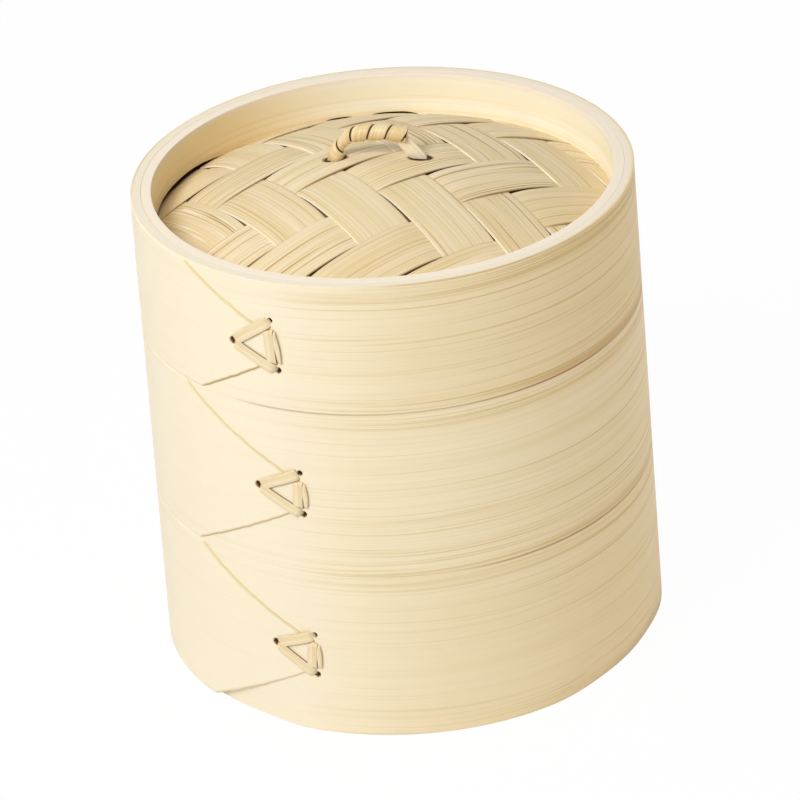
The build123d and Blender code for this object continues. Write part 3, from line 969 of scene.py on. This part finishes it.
def weave_dome(material):
    """Weft strips and warp strips of a two-over, two-under twill: each strip's floats start one strip
    further on."""
    half = STRIPS_EACH_WAY // 2
    for number in range(-half, STRIPS_EACH_WAY - half):
        start = WARP_SHIFT + (-number - 0.5) * STRIP_PITCH
        weft = strip_sweep(WEFT_SHIFT + number * STRIP_PITCH, start, False)
        name = f"lid_weft_strip_{number + half + 1}"
        make_piece(f"{name}_split", [weft], "lid", "woven_bamboo", material, name)
    for number in range(-half, STRIPS_EACH_WAY - half):
        start = WEFT_SHIFT + (TWILL_REPEAT / 2 - number - 0.5) * STRIP_PITCH
        warp = strip_sweep(WARP_SHIFT + number * STRIP_PITCH, start, True)
        name = f"lid_warp_strip_{number + half + 1}"
        make_piece(f"{name}_split", [warp], "lid", "woven_bamboo", material, name)


# Handle


def rounded(corners):
    """Smooth line from a few corners, each cut at a quarter of its sides again and again."""
    line = np.array(corners)
    for _ in range(CORNER_CUTS):
        near = 0.75 * line[:-1] + 0.25 * line[1:]
        far = 0.25 * line[:-1] + 0.75 * line[1:]
        line = np.concatenate([line[:1], np.stack([near, far], axis=1).reshape(-1, 2), line[-1:]])
    return line


def bar_line():
    """Line of the left leg and the bar in the handle's plane, up to the right shoulder."""
    foot = HANDLE_FEET[0]
    left, right = HANDLE_SHOULDERS
    crest = HANDLE_HEIGHT + HANDLE_ARCH
    leg = [(foot, KNOT_BOTTOM), (foot, 0), (foot + HANDLE_ELBOW[0], HANDLE_ELBOW[1])]
    bar = [(left, HANDLE_HEIGHT), (left / 2, crest), (right / 2, crest), (right, HANDLE_HEIGHT)]
    return rounded(leg + bar)


def cane_radius(level):
    """Radius of the cane under its winding: slim through the key, stout at the foot, slim again at the
    shoulder and full on the bar, with smooth steps between them."""
    foot = CANE_LEG_RADIUS + (CANE_FOOT_RADIUS - CANE_LEG_RADIUS) * smooth(level, *CANE_FOOT_LEVELS)
    neck = foot + (CANE_NECK_RADIUS - foot) * smooth(level, *CANE_NECK_LEVELS)
    return neck + (CANE_RADIUS - CANE_NECK_RADIUS) * smooth(level, *CANE_BAR_LEVELS)


def leg_line():
    """Line of the bare right leg, from inside the bar's end down through the weave."""
    foot = np.array((HANDLE_FEET[1], 0.0))
    shoulder = np.array((HANDLE_SHOULDERS[1], HANDLE_HEIGHT))
    knee = shoulder + LEG_KNEE
    ankle = foot + LEG_ANKLE
    straight = [(1 - share) * knee + share * ankle for share in LEG_STRAIGHT]
    below = [foot + LEG_HEEL, (foot[0], KNOT_TOP), (foot[0], KNOT_BOTTOM)]
    return rounded([shoulder - (LEG_ROOT, 0.0), knee, *straight, ankle, *below])


def in_handle_plane(line):
    """Points of the frame for points of the handle's plane, and the plane's normal."""
    turn = np.radians(HANDLE_TURN)
    x = line[..., 0] * np.cos(turn)
    y = line[..., 0] * np.sin(turn) + HANDLE_SHIFT
    normal = np.array([np.sin(turn), -np.cos(turn), 0])
    return np.stack([x, y, line[..., 1] + HANDLE_BASE], axis=-1), normal


def core_sweep(line, width, thickness, squareness=1.0, **marks):
    """Bent cane: a superellipse of that width and thickness carried along a line of the handle's
    plane."""
    path, normal = in_handle_plane(line)
    away, sideways = frames_along(path, np.broadcast_to(normal, path.shape))
    turn = np.linspace(0, 2 * np.pi, CANE_POINTS, endpoint=False)
    side = width[:, None] / 2 * np.sign(np.cos(turn)) * np.abs(np.cos(turn)) ** squareness
    face = thickness[:, None] / 2 * np.sign(np.sin(turn)) * np.abs(np.sin(turn)) ** squareness
    rings = path[:, None] + side[..., None] * sideways[:, None] + face[..., None] * away[:, None]
    return sweep(rings, lengths_along(path), np.append(turn, 2 * np.pi) * CANE_RADIUS, **marks)


def knot_sweep(foot):
    """Knot under the key: a squat bead on the leg, whose radius is its greatest times the square root of
    one less the cube of the height from its middle."""
    share = np.linspace(-1, 1, KNOT_LEVELS)[1:-1]
    middle = (KNOT_TOP + KNOT_BOTTOM) / 2
    level = middle + share * (KNOT_TOP - KNOT_BOTTOM) / 2
    size = 2 * KNOT_RADIUS * (1 - np.abs(share) ** KNOT_POWER) ** 0.5
    return core_sweep(np.stack([np.full_like(level, foot), level], axis=1), size, size)


def wrap_sweep(line, begin, end):
    """Flat cane wound round the handle: a strip whose section lies along the handle's line, carried round
    it on a helix. A point is the line at the helix's distance plus the place across the strip, moved out
    by the core's radius plus the section's height, and each turn's far edge lies a little over the next
    one. The last turn is cut off at the end of the line."""
    path, normal = in_handle_plane(line)
    length = lengths_along(path)
    turns = (end - begin) / WRAP_PITCH
    wind = np.linspace(0, turns * 2 * np.pi, int(turns * WRAP_STEPS))[:, None]
    side, face = flat_section(WRAP_WIDTH, WRAP_THICKNESS, WRAP_POINTS)
    place = np.minimum(begin + WRAP_PITCH * wind / (2 * np.pi) + side, length[-1])
    centre = np.stack([np.interp(place, length, path[:, k]) for k in range(3)], axis=-1)
    way = np.gradient(path, axis=0)
    way /= np.linalg.norm(way, axis=1, keepdims=True)
    along = np.stack([np.interp(place, length, way[:, k]) for k in range(3)], axis=-1)
    across = np.cross(normal, along)
    core = cane_radius(centre[..., 2] - HANDLE_BASE)
    outward = core + WRAP_THICKNESS / 2 + face + WRAP_LAP * side / WRAP_WIDTH
    swing = WRAP_START - wind
    radial = np.cos(swing)[..., None] * across + np.sin(swing)[..., None] * normal
    rings = centre + outward[..., None] * radial
    shade = smooth(-side, WRAP_SHADE * WRAP_WIDTH, WRAP_WIDTH / 2)
    return sweep(rings, wind[:, 0] * CANE_RADIUS * WRAP_GIRTH, np.append(side, side[0]), shade=shade)


def dress_handle(winding, bare):
    """Cane handle: the bent core with its bare right leg and its knots, and the flat cane wound round its
    left leg and bar."""
    bar = bar_line()
    across = 2 * cane_radius(bar[:, 1])
    # The core's colour between the winding's turns is painted shade
    core = core_sweep(bar, across, across, hole=smooth(bar[:, 1], *CANE_SHADE_LEVELS)[:, None])
    leg = leg_line()
    flat = smooth(leg[:, 1], *LEG_FLAT_LEVELS)
    wide = 2 * CANE_LEG_RADIUS + (LEG_WIDTH - 2 * CANE_LEG_RADIUS) * flat
    thick = 2 * CANE_LEG_RADIUS + (LEG_THICKNESS - 2 * CANE_LEG_RADIUS) * flat
    knots = [knot_sweep(foot) for foot in HANDLE_FEET]
    parts = [core, core_sweep(leg, wide, thick, LEG_SQUARENESS), *knots]
    make_piece("lid_handle_cane", parts, "lid", "cane", bare, "lid_handle_core")
    length = lengths_along(in_handle_plane(bar)[0])
    begin = length[np.argmax(bar[:, 1] > WRAP_FOOT)]
    wrap = wrap_sweep(bar, begin, length[-1] + WRAP_RUN_OUT * WRAP_WIDTH)
    make_piece("lid_handle_winding", [wrap], "lid", "cane", winding, "lid_handle_wrap")


# Studio


def photo_camera():
    """Camera of the photograph: on a circle round the basket, turned to its aim and rolled."""
    rise = np.radians(CAMERA_ELEVATION)
    roll = np.radians(CAMERA_ROLL)
    orbit = np.array([0, -np.cos(rise), np.sin(rise)]) * CAMERA_DISTANCE
    place = orbit + np.array([0, 0, CAMERA_ORBIT_HEIGHT])
    ahead = np.array(CAMERA_AIM) - place
    ahead /= np.linalg.norm(ahead)
    right = np.cross(ahead, (0, 0, 1))
    right /= np.linalg.norm(right)
    up = np.cross(right, ahead)
    rolled_right = np.cos(roll) * right + np.sin(roll) * up
    rolled_up = np.cos(roll) * up - np.sin(roll) * right
    view = np.eye(4)
    view[:3] = np.stack([rolled_right, rolled_up, -ahead, place * MM], axis=1)
    data = bpy.data.cameras.new("photo_camera")
    data.lens = CAMERA_LENS
    made = bpy.data.objects.new("photo_camera", data)
    made.matrix_world = Matrix(view.tolist())
    bpy.context.scene.collection.objects.link(made)
    bpy.context.scene.camera = made


def lamp(name, azimuth, elevation, distance, size, power, colour):
    """Square soft lamp that faces the middle of the basket."""
    turn, rise = np.radians((azimuth, elevation))
    back = np.array([np.cos(turn) * np.cos(rise), np.sin(turn) * np.cos(rise), np.sin(rise)])
    side = np.cross((0, 0, 1), back)
    side /= np.linalg.norm(side)
    view = np.eye(4)
    place = back * distance + np.array([0, 0, CAMERA_AIM[2]])
    view[:3] = np.stack([side, np.cross(back, side), back, place * MM], axis=1)
    data = bpy.data.lights.new(name, "AREA")
    data.size = size * MM
    data.energy = power
    data.color = linear(colour)[:3]
    made = bpy.data.objects.new(name, data)
    made.matrix_world = Matrix(view.tolist())
    bpy.context.scene.collection.objects.link(made)


def studio():
    """White world and pale floor that show white but keep a soft shadow, and the lamps."""
    world = bpy.data.worlds.new("white_studio")
    world.use_nodes = True
    tree = world.node_tree
    tree.nodes.clear()
    seen = seen_directly(tree)
    levels = {"Value": seen, "To Min": AMBIENT_LEVEL, "To Max": 1.0}
    level = add(tree, "ShaderNodeMapRange", levels)
    background = add(tree, "ShaderNodeBackground", {"Color": (1, 1, 1, 1), "Strength": level})
    add(tree, "ShaderNodeOutputWorld", {"Surface": background})
    bpy.context.scene.world = world
    made, tree = new_material("matt_white_floor")
    share = add(tree, "ShaderNodeMath", {0: seen_directly(tree), 1: FLOOR_GLOW}, operation="MULTIPLY")
    matt = add(tree, "ShaderNodeBsdfDiffuse", {"Color": linear("#F6F5F3")})
    glow = add(tree, "ShaderNodeEmission", {"Color": (1, 1, 1, 1), "Strength": 1.0})
    mixed = add(tree, "ShaderNodeMixShader", {0: share, 1: matt, 2: glow})
    add(tree, "ShaderNodeOutputMaterial", {"Surface": mixed})
    corners = np.array([(-1, -1, 0), (1, -1, 0), (1, 1, 0), (-1, 1, 0)]) * FLOOR_HALF * MM
    mesh = bpy.data.meshes.new("floor")
    mesh.from_pydata(corners.tolist(), [], [(0, 1, 2, 3)])
    mesh.materials.append(made)
    floor = bpy.data.objects.new("floor", mesh)
    bpy.context.scene.collection.objects.link(floor)
    for name, setting in LAMPS.items():
        lamp(name, *setting)


def seen_directly(tree):
    """1 for rays from the camera and for reflections and transmissions, which all see the white
    background."""
    seen = 0.0
    for kind in ("Is Camera Ray", "Is Glossy Ray", "Is Transmission Ray"):
        ray = add(tree, "ShaderNodeLightPath", output=kind)
        seen = add(tree, "ShaderNodeMath", {0: ray, 1: seen}, operation="MAXIMUM")
    return seen


# Assembly

hoop_bamboo = planed_bamboo_hoop()
liner_bamboo = bent_bamboo_liner()
slat_bamboo = split_bamboo_floor("split_bamboo_slat", (80, 4, 4), (80, 0.7, 0.7))
bar_bamboo = split_bamboo_floor("split_bamboo_bar", (4, 80, 4), (0.7, 80, 0.7))
strip_bamboo = woven_bamboo_strip()
winding_cane = split_cane("split_cane_winding", "#EFD9AC", "#E3C78E", "#C7A263")
bare_cane = split_cane("peeled_cane", "#FCF0D4", "#F6E4BA", "#D6B87E")
lacing_cane = split_cane("split_cane_lacing", "#EFDDBA", "#E6D0A2", "#CBA970")

for prefix in BODIES:
    dress_hoop(prefix, hoop_bamboo, lacing_cane)
dress_liner("lower", "liner_hoop", liner_bamboo)
dress_liner("upper", "liner_hoop", liner_bamboo)
dress_liner("lid", "upper_liner", liner_bamboo, LINER_DROP, LINER_SLITS)
dress_liner("lid", "lower_liner", liner_bamboo, raised=LINER_RAISED)
weave_dome(strip_bamboo)
dress_handle(winding_cane, bare_cane)

finishes = {
    "_slat_": slat_bamboo,
    "_cross_bar_": bar_bamboo,
    "_floor_ring": liner_bamboo,
    "_handle_key": slat_bamboo,
}
for name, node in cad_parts.items():
    for part, material in finishes.items():
        if part in name:
            node.data.materials.clear()
            node.data.materials.append(material)

photo_camera()
studio()
bpy.context.scene.view_settings.view_transform = "Standard"
